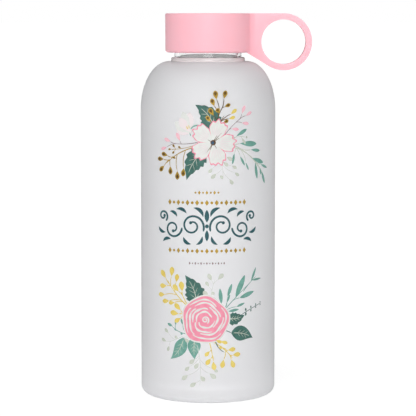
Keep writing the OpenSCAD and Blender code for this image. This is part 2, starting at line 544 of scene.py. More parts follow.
@dataclass
class ThreadRidge:
    """A ridge of trapezoid section that climbs a wall in a right-hand helix and fades at its ends."""

    root_r: float
    crest_r: float
    base: float
    crest: float
    start_z: float
    lead: float = 4.0
    turns: float = 1.5
    buried: float = 0.4
    fade: float = math.radians(30)
    steps_per_turn: int = 96

    def build(self, name: str) -> bpy.types.Object:
        """The ridge as a closed mesh.

        Args:
            name: Name of the new object.

        Returns:
            The mesh object.
        """
        inward = self.crest_r < self.root_r
        wall = self.root_r + (self.buried if inward else -self.buried)
        section = [
            (wall, self.start_z - self.base / 2),
            (self.crest_r, self.start_z - self.crest / 2),
            (self.crest_r, self.start_z + self.crest / 2),
            (wall, self.start_z + self.base / 2),
        ]
        ridge = pen(name, [section])
        screw = ridge.modifiers.new("helix", "SCREW")
        screw.angle = FULL_TURN * self.turns
        screw.screw_offset = self.lead * self.turns * MM
        screw.steps = screw.render_steps = round(self.steps_per_turn * self.turns)
        screw.use_merge_vertices = False
        apply_modifiers(ridge)
        self.taper_ends(ridge.data, wall)
        with editing(ridge, "EDGE"):
            bpy.ops.mesh.select_all(action="DESELECT")
            bpy.ops.mesh.select_non_manifold()
            bpy.ops.mesh.edge_face_add()
        return mend(ridge)

    def taper_ends(self, mesh: bpy.types.Mesh, wall: float) -> None:
        """Sinks both ends of the ridge into the wall that it stands on.

        Args:
            mesh: The ridge's mesh, still in its order of steps.
            wall: Radius of the ridge's buried side, in millimetres.
        """
        rings = len(mesh.vertices) // 4
        faded = (self.root_r + wall) / 2
        for index, vertex in enumerate(mesh.vertices):
            along = FULL_TURN * self.turns * (index // 4) / (rings - 1)
            share = min(1.0, along / self.fade, (FULL_TURN * self.turns - along) / self.fade)
            radius = math.hypot(vertex.co.x, vertex.co.y) / MM
            if abs(radius - self.crest_r) < abs(radius - wall):
                scale = (faded + (self.crest_r - faded) * share) / radius
                vertex.co.x *= scale
                vertex.co.y *= scale


@dataclass
class GlassBottle:
    """The glass: a straight body, an elliptical shoulder, a collar and a clear threaded neck.

    Its outside is ink_room smaller in radius than the CAD model, so that the print stays in the CAD
    model's box. All sizes are in millimetres.
    """

    body_r: float
    height: float
    ink_room: float = 0.13
    wall: float = 3.0
    floor: float = 6.0
    heel_r: float = 4.6
    punt: float = 3.0
    foot_inset: float = 11.0
    shoulder_rx: float = 15.9
    shoulder_rz: float = 27.1
    neck_r: float = 18.9
    bore_r: float = 16.2
    collar_r: float = 20.7
    collar_h: float = 2.2
    collar_round: float = 0.8
    collar_foot: float = 0.5
    neck_foot: float = 0.4
    collar_below_lip: float = 21.2
    inner_heel_r: float = 8.0
    inner_shoulder_rz: float = 21.5
    inner_neck_r: float = 3.0
    floor_rise: float = 1.2
    lip_r: float = 1.0
    thread_rise: float = 1.4
    thread_base: float = 2.2
    thread_crest: float = 1.2
    thread_below_lip: float = 13.1

    @property
    def skin_r(self) -> float:
        """Radius of the glass under the print."""
        return self.body_r - self.ink_room

    @property
    def ledge(self) -> float:
        """Height of the flat ring at the top of the shoulder, where the etching ends."""
        return self.height - self.collar_below_lip

    def outline(self) -> Loop:
        """Half a section of the glass.

        Returns:
            The (radius, height) points, from the middle of the foot up the outside and down the inside.
        """
        foot_r, inner_r = self.body_r - self.foot_inset, self.body_r - self.wall
        shoulder_z, collar_top = self.ledge - self.shoulder_rz, self.ledge + self.collar_h
        heel, inner_heel, lip, inner_neck = self.heel_r, self.inner_heel_r, self.lip_r, self.inner_neck_r
        foot, round_r, neck_foot = self.collar_foot, self.collar_round, self.neck_foot
        hollow = [(foot_r * i / 12, self.punt * (1 - (i / 12) ** 2)) for i in range(13)]
        return [
            *hollow,
            *arc((self.skin_r - heel, heel), heel, heel, -90, 0, 12),
            *arc((self.skin_r - self.shoulder_rx, shoulder_z), self.shoulder_rx, self.shoulder_rz, 0, 90, 40),
            (self.collar_r + foot, self.ledge),
            *arc((self.collar_r + foot, self.ledge + foot), foot, foot, -90, -180, 4),
            *arc((self.collar_r - round_r, collar_top - round_r), round_r, round_r, 0, 90, 8),
            *arc((self.neck_r + neck_foot, collar_top + neck_foot), neck_foot, neck_foot, -90, -180, 4),
            *arc((self.neck_r - lip, self.height - lip), lip, lip, 0, 90, 8),
            *arc((self.bore_r + lip, self.height - lip), lip, lip, 90, 180, 8),
            *arc((self.bore_r + inner_neck, shoulder_z + self.inner_shoulder_rz + inner_neck),
                 inner_neck, inner_neck, 180, 270, 10),
            *arc((inner_r - self.shoulder_rx, shoulder_z),
                 self.shoulder_rx, self.inner_shoulder_rz, 90, 0, 40),
            *arc((inner_r - inner_heel, self.floor + inner_heel), inner_heel, inner_heel, 0, -90, 12),
            (0, self.floor + self.floor_rise),
        ]

    def build(self, finishes: list[Glass]) -> bpy.types.Object:
        """The whole moulding.

        Args:
            finishes: The glass of the outside up to the ledge, of the inside and the neck, and of the
                collar's rim.

        Returns:
            The mesh object, with a material slot for each finish.
        """
        glass = revolve("bottle_glass", self.outline(), closed=False, steps=192)
        thread = ThreadRidge(
            self.neck_r, self.neck_r + self.thread_rise, self.thread_base, self.thread_crest,
            self.height - self.thread_below_lip,
        )
        combine(glass, thread.build("neck_thread"), "UNION")
        smooth(glass, 40)
        for finish in finishes:
            glass.data.materials.append(finish.material())
        for face in glass.data.polygons:
            face.material_index = 0 if self.is_outside(face) else 2 if self.is_collar(face) else 1
        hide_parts("bottle")
        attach(glass, "bottle")
        return glass

    def is_collar(self, face: bpy.types.MeshPolygon) -> bool:
        """Tells whether a face is on the collar, below the neck.

        Args:
            face: A face of the glass.

        Returns:
            True where it is.
        """
        centre = face.center / MM
        over = centre.z - self.ledge
        return 0 < over < self.collar_h + 0.1 and math.hypot(centre.x, centre.y) > self.neck_r + 0.2

    def is_outside(self, face: bpy.types.MeshPolygon) -> bool:
        """Tells whether a face is on the etched outside of the body, shoulder or foot.

        Args:
            face: A face of the glass.

        Returns:
            True where it is.
        """
        centre = face.center / MM
        if centre.z > self.ledge + 0.05:
            return False
        outward = face.normal.x * centre.x + face.normal.y * centre.y
        if centre.z < self.punt + 0.1:
            return True
        return outward > 0 or (face.normal.z > 0.9 and centre.z > self.ledge - 0.3)


@dataclass
class ScrewCap:
    """The cap: an outer shell with its finger loop, the threaded liner inside it, and the gasket.

    All sizes are in millimetres.
    """

    cap_r: float
    top: float
    tall: float = 21.9
    side: float = 1.9
    roof: float = 2.4
    loop_x: float = 42.4
    loop_hole_r: float = 12.5
    loop_band: float = 3.4
    loop_half: float = 4.5
    fillet: float = 4.5
    loop_edge: float = 0.9
    top_edge: float = 0.8
    bottom_edge: float = 1.5
    hair: float = 0.02
    part_gap: float = 0.05
    snap_low: float = 4.0
    snap_high: float = 5.2
    snap_depth: float = 0.3
    bead_rise: float = 0.2
    play: float = 0.1
    ribs: int = 12
    rib_w: float = 1.6
    rib_r: float = 22.55
    rib_low: float = 6.5
    rib_roof_gap: float = 0.15
    liner_r: float = 22.05
    liner_bore_r: float = 20.6
    liner_foot: float = 0.6
    liner_ceiling: float = 4.0
    liner_edge: float = 0.25
    liner_thread_rise: float = 1.25
    liner_thread_base: float = 1.8
    liner_thread_crest: float = 0.9
    liner_thread_up: float = 0.95
    plug_r: float = 15.3
    plug_wall: float = 1.4
    plug_foot: float = 7.0
    plug_edge: float = 0.4
    gasket_in: float = 15.6
    gasket_out: float = 20.3
    gasket_h: float = 1.23
    gasket_edge: float = 0.3
    gasket_rib_r: float = 17.55
    gasket_rib_apart: float = 0.65
    gasket_rib_half: float = 0.4
    gasket_rib_h: float = 0.3

    @property
    def base(self) -> float:
        """Height of the cap's lower edge."""
        return self.top - self.tall

    @property
    def loop_r(self) -> float:
        """Outer radius of the loop."""
        return self.loop_hole_r + self.loop_band

    @property
    def loop_z(self) -> float:
        """Height of the loop's centre, which puts its top a hair under the cap's."""
        return self.top - self.loop_r - self.hair

    def outline(self) -> Loop:
        """Half a section of the cap's outside.

        Returns:
            The (radius, height) points, from the middle of the base to the middle of the top.
        """
        low, high = self.bottom_edge, self.top_edge
        return [
            (0, self.base),
            *arc((self.cap_r - low, self.base + low), low, low, -90, 0, 10),
            *arc((self.cap_r - high, self.top - high), high, high, 0, 90, 8),
            (0, self.top),
        ]

    def web_plan(self) -> Loop:
        """The loop and its web from above, with a fillet on each side where it leaves the cap.

        Returns:
            The outline, as (x, y).
        """
        reach = self.cap_r + self.fillet
        off = self.loop_half + self.fillet
        fillet_x = math.sqrt(reach**2 - off**2)
        meet = math.degrees(math.atan2(off, fillet_x))
        near = self.cap_r / 2
        far = self.loop_x + self.loop_r + 1
        touch_y = self.cap_r * math.sin(math.radians(meet))
        return [
            (near, -touch_y),
            *arc((fillet_x, -off), self.fillet, self.fillet, 180 - meet, 90, 12),
            (far, -self.loop_half),
            (far, self.loop_half),
            *arc((fillet_x, off), self.fillet, self.fillet, 270, 180 + meet, 12),
            (near, touch_y),
        ]

    def web_side(self) -> Loop:
        """The loop and its web from the front, with no hole.

        Returns:
            The outline, as (x, z).
        """
        corner = (self.cap_r - self.bottom_edge - 1, self.base + self.hair)
        away = math.hypot(corner[0] - self.loop_x, corner[1] - self.loop_z)
        toward = math.degrees(math.atan2(corner[1] - self.loop_z, corner[0] - self.loop_x)) % 360
        tangent = toward + math.degrees(math.acos(self.loop_r / away))
        near = self.cap_r / 2
        return [
            (near, corner[1]),
            corner,
            *arc((self.loop_x, self.loop_z), self.loop_r, self.loop_r, tangent, 450, 96),
            (near, self.loop_z + self.loop_r),
        ]

    def build_shell(self, finish: MouldedPlastic) -> bpy.types.Object:
        """The outer shell with its loop, as one moulding.

        Args:
            finish: The plastic's finish.

        Returns:
            The mesh object.
        """
        shell = revolve("cap_moulding", self.outline(), closed=False, steps=160)
        combine(shell, self.build_loop(), "UNION")
        bore_r = self.cap_r - self.side
        groove = self.snap(bore_r, bore_r + self.snap_depth, self.play)
        inside = revolve(
            "cap_inside",
            [(0, self.base - 2), (bore_r, self.base - 2), *groove,
             (bore_r, self.top - self.roof), (0, self.top - self.roof)],
            closed=False, steps=160,
        )
        combine(shell, inside, "DIFFERENCE")
        combine(shell, self.drive_ribs(bore_r, self.rib_r + self.play, self.play), "DIFFERENCE")
        # the cuts leave points a few micrometres apart, which would open the mesh
        mend(shell, 5e-6)
        smooth(shell, 32)
        shell.data.materials.append(finish.material())
        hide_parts("cap_shell")
        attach(shell, "cap")
        return shell

    def snap(self, wall_r: float, crest_r: float, spare: float) -> Loop:
        """The low bead that locks the liner in the shell, as points up its outside.

        Args:
            wall_r: Radius of the wall that it stands on.
            crest_r: Radius of its crest.
            spare: How much wider it is on each side than the liner's own bead.

        Returns:
            Its four points.
        """
        low, high = self.base + self.snap_low - spare, self.base + self.snap_high + spare
        slope = crest_r - wall_r
        return [(wall_r, low - slope), (crest_r, low), (crest_r, high), (wall_r, high + slope)]

    def drive_ribs(self, wall_r: float, out_r: float, spare: float) -> bpy.types.Object:
        """Ribs that turn the liner with the shell, all in one object.

        Args:
            wall_r: Radius of the wall that they stand on.
            out_r: Radius of their outer faces.
            spare: How much wider they are on each side than the liner's own ribs.

        Returns:
            The mesh object.
        """
        half = self.rib_w / 2 + spare
        plan = [(wall_r - 0.5, -half), (out_r, -half), (out_r, half), (wall_r - 0.5, half)]
        span = (self.base + self.rib_low - spare, self.top - self.roof - self.rib_roof_gap + spare)
        first = self.prism("drive_rib", plan, along_z=span)
        first.rotation_euler[2] = FULL_TURN / self.ribs / 2
        ribs = [settle(first)]
        for _ in range(self.ribs - 1):
            bpy.ops.object.duplicate()
            bpy.context.object.rotation_euler[2] = FULL_TURN / self.ribs
            ribs.append(settle(bpy.context.object))
        return join(ribs)

    def build_liner(self, finish: MouldedPlastic) -> bpy.types.Object:
        """The threaded liner: a cup with a plug, a snap bead and ribs that the shell turns.

        Args:
            finish: The plastic's finish.

        Returns:
            The mesh object.
        """
        foot, roof = self.base + self.liner_foot, self.top - self.roof - self.part_gap
        ceiling, plug_foot = self.top - self.liner_ceiling, self.top - self.plug_foot
        out_r, bore_r, edge = self.liner_r, self.liner_bore_r, self.liner_edge
        hollow_r, plug_edge = self.plug_r - self.plug_wall, self.plug_edge
        profile = [
            (0, ceiling), (hollow_r - plug_edge, ceiling), (hollow_r, ceiling - plug_edge),
            (hollow_r, plug_foot + edge), (hollow_r + edge, plug_foot),
            (self.plug_r - plug_edge, plug_foot), (self.plug_r, plug_foot + plug_edge),
            (self.plug_r, ceiling), (bore_r, ceiling),
            (bore_r, foot + edge), (bore_r + edge, foot), (out_r - edge, foot), (out_r, foot + edge),
            *self.snap(out_r, out_r + self.bead_rise, 0.0),
            (out_r, roof - edge), (out_r - edge, roof), (0, roof),
        ]
        liner = revolve("threaded_liner", profile, closed=False, steps=160)
        ridge = ThreadRidge(
            bore_r, bore_r - self.liner_thread_rise, self.liner_thread_base, self.liner_thread_crest,
            foot + self.liner_thread_up,
        )
        combine(liner, ridge.build("liner_thread"), "UNION")
        combine(liner, self.drive_ribs(out_r, self.rib_r, 0.0), "UNION")
        smooth(liner, 32)
        liner.data.materials.append(finish.material())
        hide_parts("cap_liner")
        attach(liner, "cap")
        return liner

    def build_gasket(self, finish: Silicone) -> bpy.types.Object:
        """The flat sealing ring, with two small ribs that press on the lip of the glass.

        Args:
            finish: The rubber's finish.

        Returns:
            The mesh object.
        """
        high = self.top - self.liner_ceiling - self.hair
        low, edge = high - self.gasket_h, self.gasket_edge
        profile = [(self.gasket_in + edge, high), (self.gasket_in, high - edge),
                   (self.gasket_in, low + edge), (self.gasket_in + edge, low)]
        half, crest, foot = self.gasket_rib_half, self.gasket_rib_half / 2, low - self.gasket_rib_h
        for rib_r in (self.gasket_rib_r - self.gasket_rib_apart, self.gasket_rib_r + self.gasket_rib_apart):
            profile += [(rib_r - half, low), (rib_r - crest, foot),
                        (rib_r + crest, foot), (rib_r + half, low)]
        profile += [(self.gasket_out - edge, low), (self.gasket_out, low + edge),
                    (self.gasket_out, high - edge), (self.gasket_out - edge, high)]
        gasket = smooth(revolve("sealing_ring", profile, closed=True, steps=144), 50)
        gasket.data.materials.append(finish.material())
        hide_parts("seal_gasket")
        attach(gasket, "seal")
        return gasket

    def build_loop(self) -> bpy.types.Object:
        """The loop and its web. Its near end lies inside the cap.

        Returns:
            The mesh object, with its edges rounded where they lie outside the cap. Rounding them
            inside the cap too would make the mesh cross itself.
        """
        loop = self.prism("loop", self.web_plan(), along_z=(self.loop_z - self.loop_r - 1, self.top + 1))
        combine(loop, self.prism("loop_side", self.web_side(), along_y=self.cap_r), "INTERSECT")
        rim = ring((self.loop_x, self.loop_z), self.loop_hole_r, 96)
        hole = self.prism("loop_hole", rim, along_y=self.cap_r)
        combine(loop, hole, "DIFFERENCE")
        with editing(loop):
            bpy.ops.mesh.remove_doubles(threshold=1e-6)
            bpy.ops.mesh.dissolve_limited(angle_limit=math.radians(0.2))
        with editing(loop, "EDGE"):
            bpy.ops.mesh.select_all(action="DESELECT")
            bpy.ops.mesh.edges_select_sharp(sharpness=math.radians(40))
        weights = loop.data.attributes.new("bevel_weight_edge", "FLOAT", "EDGE").data
        for edge, weight in zip(loop.data.edges, weights):
            first, second = (loop.data.vertices[i].co for i in edge.vertices)
            away = (first + second).xy.length / 2 / MM
            weight.value = float(edge.select and away > self.cap_r + self.hair)
        rounding = loop.modifiers.new("moulded_edges", "BEVEL")
        rounding.limit_method = "WEIGHT"
        rounding.width = self.loop_edge * MM
        rounding.segments = 4
        return apply_modifiers(loop)

    def prism(
        self, name: str, outline: Loop, along_y: float = 0.0, along_z: tuple[float, float] = (0.0, 0.0)
    ) -> bpy.types.Object:
        """An outline with depth.

        Args:
            name: Name of the new object.
            outline: One closed line, in millimetres.
            along_y: Half of the depth, for an outline in X and Z.
            along_z: Lowest and highest height, for an outline in X and Y.

        Returns:
            The closed mesh object.
        """
        obj = pen(name, [outline])
        fill(obj)
        if along_y:
            low, depth = (0, -along_y * MM, 0), (0, 2 * along_y, 0)
        else:
            obj.rotation_euler[0] = -math.pi / 2
            settle(obj)
            low, depth = (0, 0, along_z[0] * MM), (0, 0, along_z[1] - along_z[0])
        obj.location = low
        thicken(settle(obj), depth)
        return mend(obj)


# ---------------------------------------------------------------- print


def along(start: Point, end: Point, bow: float = 0.0, steps: int = 12) -> Loop:
    """A line from start to end, bowed to its left by a share of its length.

    Args:
        start: Its first point.
        end: Its last point.
        bow: The bow's height, as a share of the distance.
        steps: Number of straight steps.

    Returns:
        The points.
    """
    dx, dz = end[0] - start[0], end[1] - start[1]
    shares = [i / steps for i in range(steps + 1)]
    return [
        (start[0] + dx * t - dz * bow * 4 * t * (1 - t), start[1] + dz * t + dx * bow * 4 * t * (1 - t))
        for t in shares
    ]


def widen(line: Loop, halves: list[float]) -> Loop:
    """The outline of a line with a width.

    Args:
        line: The line's points.
        halves: Half of the width at each point. An end may be 0, which makes it pointed.

    Returns:
        The closed outline.
    """
    left, right = [], []
    for i, ((x, z), half) in enumerate(zip(line, halves)):
        (ax, az), (bx, bz) = line[max(i - 1, 0)], line[min(i + 1, len(line) - 1)]
        length = math.hypot(bx - ax, bz - az)
        nx, nz = -(bz - az) / length * half, (bx - ax) / length * half
        left.append((x + nx, z + nz))
        if half > 1e-4:
            right.append((x - nx, z - nz))
    return left + right[::-1]


def stroke(line: Loop, width: float, end_width: float | None = None) -> Loop:
    """A pen stroke that narrows a little at both ends.

    Args:
        line: The line's points.
        width: Its width at the start.
        end_width: Its width at the end, or None for the same.

    Returns:
        The closed outline.
    """
    end_width = width if end_width is None else end_width
    last = len(line) - 1
    halves = [
        (width + (end_width - width) * i / last) / 2 * min(1.0, 0.45 + min(i, last - i) / 2)
        for i in range(last + 1)
    ]
    return widen(line, halves)


def leaf(
    start: Point, end: Point, width: float, bow: float = 0.0, belly: float = 0.42,
    teeth: int = 0, bite: float = 0.0, blunt: float = 0.85,
) -> Loop:
    """A leaf, a petal or a drop.

    Args:
        start: Where it grows from.
        end: Its tip.
        width: Its greatest width.
        bow: How far it bends to its left, as a share of its length.
        belly: Where along it the greatest width is, from 0 to 1.
        teeth: Number of teeth on each edge.
        bite: Depth of the teeth, as a share of the width.
        blunt: Below 1 for round ends, and above 1 for drawn-out ones.

    Returns:
        The closed outline.
    """
    steps = teeth * 4 if teeth else 18
    power = math.log(0.5) / math.log(belly)
    halves = []
    for i in range(steps + 1):
        half = width / 2 * max(0.0, math.sin(math.pi * (i / steps) ** power)) ** blunt
        if teeth:
            half *= 1 - bite * (1 - (i % 4) / 3)
        halves.append(half)
    return widen(along(start, end, bow, steps), halves)


def spiral(centre: Point, outer: float, inner: float, start: float, turn: float, steps: int = 40) -> Loop:
    """Points that wind in from an outer radius to an inner one.

    Args:
        centre: The middle.
        outer: Radius at the first point.
        inner: Radius at the last point.
        start: Angle of the first point, in degrees.
        turn: Angle wound through, in degrees, anticlockwise if above 0.
        steps: Number of straight steps.

    Returns:
        The points.
    """
    return [
        polar(centre, outer + (inner - outer) * (i / steps) ** 0.8, start + turn * i / steps)
        for i in range(steps + 1)
    ]


@dataclass
class PrintedPicture:
    """Flat shapes in several inks, pressed on the glass one over another and wrapped round it.

    The lowest film stands clear of the glass, and each level is a step further out, so that no two
    films share a plane. Each film is cut into columns before it is wrapped. The whole picture is
    moved aside and raised from where its shapes are drawn.
    """

    name: str
    glass_r: float
    clear: float = 0.01
    film: float = 0.008
    step: float = 0.01
    column: float = 1.6
    aside: float = -0.6
    raised: float = 0.7
    shapes: dict[Ink, list[tuple[int, Loop]]] = field(default_factory=dict)

    def put(self, ink: Ink, level: int, *loops: Loop) -> None:
        """Adds shapes.

        Args:
            ink: Their ink.
            level: How many films lie under them.
            loops: Their outlines, as (along, up) in millimetres from the middle of the front.
        """
        self.shapes.setdefault(ink, []).extend((level, loop) for loop in loops)

    def build(self) -> list[bpy.types.Object]:
        """One mesh for each ink, wrapped round the glass and riding with it."""
        return [self.build_ink(ink, shapes) for ink, shapes in self.shapes.items()]

    def build_ink(self, ink: Ink, shapes: list[tuple[int, Loop]]) -> bpy.types.Object:
        """The film of one ink.

        Args:
            ink: The ink.
            shapes: Its outlines, each with its level.

        Returns:
            The mesh object.
        """
        parts = []
        for level in sorted({level for level, _ in shapes}):
            part = pen(f"{self.name}_part", [loop for own, loop in shapes if own == level])
            fill(part)
            part.location = Vector((self.aside, -self.clear - level * self.step, self.raised)) * MM
            parts.append(settle(part))
        film = join(parts)
        film.name = film.data.name = f"{self.name}_{ink.value.name}"
        self.slice_columns(film)
        thicken(film, (0, -self.film, 0))
        mend(film, 1e-9)
        self.wrap(film)
        film.data.materials.append(ink.value.material())
        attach(film, "bottle")
        return film

    def slice_columns(self, film: bpy.types.Object) -> None:
        """Cuts a flat film into columns, so that it can bend.

        Args:
            film: The flat film, across X.
        """
        places = [corner[0] for corner in film.bound_box]
        first, last = (round(edge / (self.column * MM)) for edge in (min(places), max(places)))
        with editing(film):
            for i in range(first, last + 1):
                bpy.ops.mesh.select_all(action="SELECT")
                bpy.ops.mesh.bisect(plane_co=(i * self.column * MM, 0, 0), plane_no=(1, 0, 0), flip=False)

    def wrap(self, film: bpy.types.Object) -> None:
        """Bends a flat film round the glass.

        Args:
            film: The film, with its outside towards -Y.
        """
        places = [vertex.co.x for vertex in film.data.vertices]
        bend = film.modifiers.new("wrap", "SIMPLE_DEFORM")
        bend.deform_method = "BEND"
        bend.deform_axis = "Z"
        bend.angle = (max(places) - min(places)) / (self.glass_r * MM)
        apply_modifiers(film)
        film.location.y = -self.glass_r * MM
        settle(film)
        smooth(film, 30)

    def sprig(
        self, stem: Loop, tips: list[tuple[float, float, float]], inks: tuple[Ink, Ink], level: int,
        line: float = 0.5, slim: float = 0.56, belly: float = 0.62, lean: float = 0.8,
    ) -> None:
        """A stem whose side stalks end in berries, buds or narrow leaves.

        Args:
            stem: The main stem, from its root.
            tips: The middle of each end piece, and its length.
            inks: The stalks' ink and the end pieces' ink.
            level: How many films lie under it. It takes up three.
            line: The stem's width.
            slim: An end piece's width, as a share of its length.
            belly: Where its greatest width is, as in leaf.
            lean: How far back each stalk leaves the stem, as a share of its distance from it. More makes
                the end pieces point along the stem.
        """
        stalk_ink, tip_ink = inks
        # the ink that paints a dark reflection in the middle of a berry of each foil
        painted_dark_reflection_inks = {Ink.GOLD: Ink.BRONZE}
        self.put(stalk_ink, level, stroke(stem, line * 1.2, line * 0.6))
        for x, z, size in tips:
            gaps = [math.hypot(x - px, z - pz) for px, pz in stem]
            nearest = gaps.index(min(gaps))
            step = math.dist(stem[0], stem[1])
            fork = stem[max(0, nearest - round(lean * gaps[nearest] / step))]
            length = math.dist(fork, (x, z))
            share = max(0.0, 1 - size / 2 / length)
            root = (fork[0] + (x - fork[0]) * share, fork[1] + (z - fork[1]) * share)
            far = (2 * x - root[0], 2 * z - root[1])
            rise, run = stem[-1][1] - stem[0][1], stem[-1][0] - stem[0][0]
            side = 0.08 if (x - fork[0]) * rise > (z - fork[1]) * run else -0.08
            if length > size / 2:
                self.put(stalk_ink, level + 1, stroke(along(fork, root, side, 8), line * 0.8, line * 0.7))
            self.put(tip_ink, level + 2, leaf(root, far, size * slim, belly=belly, blunt=0.7))
            # a bronze patch in the middle of a gold berry: a painted dark reflection of the foil, not a
            # second ink on the real print
            if tip_ink in painted_dark_reflection_inks:
                low = (x - (x - root[0]) * 0.35, z - (z - root[1]) * 0.35)
                high = (x + (far[0] - x) * 0.7, z + (far[1] - z) * 0.7)
                inner = leaf(low, high, size * slim * 0.6, belly=0.66)
                self.put(painted_dark_reflection_inks[tip_ink], level + 3, inner)

    def veined_leaf(
        self, start: Point, end: Point, width: float, inks: tuple[Ink, Ink], level: int,
        bow: float = 0.0, teeth: int = 0,
    ) -> None:
        """A broad leaf with a pale midrib and side veins.

        Args:
            start: Where it grows from.
            end: Its tip.
            width: Its greatest width.
            inks: The leaf's ink and the veins' ink.
            level: How many films lie under it. It takes up two.
            bow: How far it bends to its left, as a share of its length.
            teeth: Number of teeth on each edge.
        """
        blade, vein = inks
        self.put(blade, level, leaf(start, end, width, bow, 0.38, teeth, 0.2, 1.15))
        midrib = along(start, end, bow, 20)
        self.put(vein, level + 1, stroke(midrib[2:17], 0.45, 0.25))
        for i in (5, 8, 11):
            (x, z), (tx, tz) = midrib[i], midrib[i + 3]
            dx, dz = tx - x, tz - z
            for turn in (0.9, -0.9):
                vx, vz = dx - dz * turn, dz + dx * turn
                line = [(x + vx * t, z + vz * t) for t in (0.1, 0.5, 0.95)]
                self.put(vein, level + 1, stroke(line, 0.3, 0.18))


@dataclass
class UpperSpray(PrintedPicture):
    """An open white flower with a pink edge, among holly-like leaves, berries and buds."""

    centre: Point = (3.4, 144.4)
    flower_r: float = 12.6
    edge_w: float = 0.8

    def draw(self) -> None:
        """Lays down all the shapes."""
        teal_leaf = (Ink.TEAL, Ink.MIST)
        self.veined_leaf((4.6, 150.5), (-6.4, 165.0), 12.0, teal_leaf, 1, bow=-0.12, teeth=6)
        self.veined_leaf((0.5, 141.5), (-11.3, 123.8), 12.0, teal_leaf, 1, bow=-0.1, teeth=6)
        self.sprig(
            along((4.6, 150.0), (9.2, 165.0), 0.06, 16),
            [(4.8, 170.4, 4.8), (9.9, 170.6, 4.6), (3.2, 166.4, 4.4), (2.4, 161.2, 4.8), (6.1, 161.8, 4.6),
             (0.8, 157.4, 4.0), (10.4, 155.8, 3.4), (11.4, 164.6, 3.6)],
            (Ink.BRONZE, Ink.GOLD), 3,
        )
        self.sprig(
            along((5.6, 151.0), (9.4, 159.0), 0.04, 10), [(15.0, 161.2, 4.2), (14.0, 157.8, 3.8)],
            (Ink.BRONZE, Ink.YELLOW), 3, slim=0.5,
        )
        self.sprig(
            along((-6.5, 142.0), (-24.0, 132.5), -0.06, 18),
            [(-25.2, 137.4, 4.4), (-28.2, 134.8, 4.4), (-18.9, 136.0, 4.4), (-27.2, 129.6, 4.6),
             (-21.2, 128.8, 4.6), (-16.8, 126.2, 4.8), (-13.2, 128.0, 4.6)],
            (Ink.GOLD, Ink.GOLD), 3,
        )
        self.sprig(
            along((-6.5, 143.0), (-20.0, 140.4), 0.04, 12),
            [(-19.0, 142.2, 2.2), (-21.6, 140.4, 2.0), (-19.2, 138.8, 2.0), (-15.4, 141.6, 2.0)],
            (Ink.GOLD, Ink.GOLD), 3, line=0.3,
        )
        self.bud((-8.0, 149.5), (-16.0, 158.5))
        self.sprig(
            along((-5.0, 144.6), (-21.0, 144.0), 0.05, 12),
            [(-23.2, 145.4, 4.6), (-16.2, 147.4, 5.0), (-25.6, 140.8, 4.2)],
            (Ink.TWIG, Ink.PETAL_PINK), 3, line=0.35, slim=0.42,
        )
        self.sprig(
            along((9.5, 148.0), (20.6, 158.4), 0.05, 12),
            [(20.9, 162.2, 4.8), (24.4, 159.8, 4.4), (22.2, 154.6, 4.6), (15.9, 151.6, 4.4)],
            (Ink.TWIG, Ink.PETAL_PINK), 3, line=0.35, slim=0.4,
        )
        self.put(Ink.SAGE, 2, stroke(spiral((-5.8, 149.6), 4.4, 3.4, 60, 150), 0.9, 0.4))
        self.put(Ink.SAGE, 2, stroke(along((-8.6, 150.6), (-3.4, 149.8), 0.1), 0.4, 0.7))
        self.sprig(
            along((11.0, 144.5), (35.0, 126.0), 0.08, 22),
            [(19.8, 149.6, 7.6), (24.4, 143.4, 11.4), (29.4, 139.6, 6.8), (31.4, 133.8, 9.4)],
            (Ink.MIST, Ink.SAGE), 1, line=0.5, slim=0.27, belly=0.6, lean=1.9,
        )
        self.sprig(
            along((16.0, 141.6), (36.0, 125.6), 0.08, 22),
            [(36.8, 130.4, 6.4), (30.0, 128.2, 9.0), (36.0, 124.2, 8.2), (20.4, 134.0, 6.0),
             (23.4, 131.0, 4.6), (14.8, 135.4, 6.2), (33.6, 127.6, 6.0)],
            (Ink.MIST, Ink.SAGE), 1, line=0.4, slim=0.22, belly=0.55, lean=1.7,
        )
        self.sprig(
            along((12.0, 146.0), (22.5, 147.0), 0.08, 10), [(23.0, 147.0, 5.0), (21.0, 145.0, 4.6)],
            (Ink.MIST, Ink.MIST), 1, line=0.4, slim=0.3,
        )
        self.sprig(
            along((6.0, 140.0), (9.0, 125.0), 0.04, 14),
            [(10.4, 132.6, 3.6), (15.4, 130.8, 3.2), (2.0, 129.1, 3.4), (3.7, 126.1, 3.8), (8.2, 125.5, 4.2),
             (16.9, 126.9, 3.2), (13.6, 122.8, 3.6), (12.6, 135.6, 3.8)],
            (Ink.WHITE, Ink.MIST), 1, line=0.4,
        )
        self.flower()

    def bud(self, root: Point, tip: Point) -> None:
        """A pale half-open bud, as a fan of petals.

        Args:
            root: Where it grows from.
            tip: The middle of its rim.
        """
        away, length = math.atan2(tip[1] - root[1], tip[0] - root[0]), math.dist(root, tip)
        for i, (turn, reach) in enumerate(((-34, 0.95), (34, 0.8), (-17, 1.08), (18, 1.0), (0, 0.92))):
            angle = away + math.radians(turn)
            end = (root[0] + length * reach * math.cos(angle), root[1] + length * reach * math.sin(angle))
            ink = Ink.WHITE if i in (2, 3) else Ink.BUD
            self.put(ink, 1 + i, leaf(root, end, 4.8, 0.05, 0.66, 4, 0.1))
        stamens = (leaf((-10.4, 151.6), (-11.6, 153.4), 0.7), leaf((-9.6, 152.0), (-10.2, 154.0), 0.6))
        self.put(Ink.YELLOW, 6, *stamens)

    def rim(self, angle: float) -> float:
        """The edge of five ruffled petals.

        Args:
            angle: A direction from the centre, in degrees.

        Returns:
            The flower's radius there.
        """
        across = ((angle - 34) % 72 - 36) / 36
        lobe = 1 - 0.4 * abs(across) ** 3.2
        ruffle = 0.045 * math.sin(math.radians(angle * 25)) + 0.035 * math.sin(math.radians(angle * 15 + 40))
        return self.flower_r * (lobe + ruffle * (1 - abs(across) ** 4))

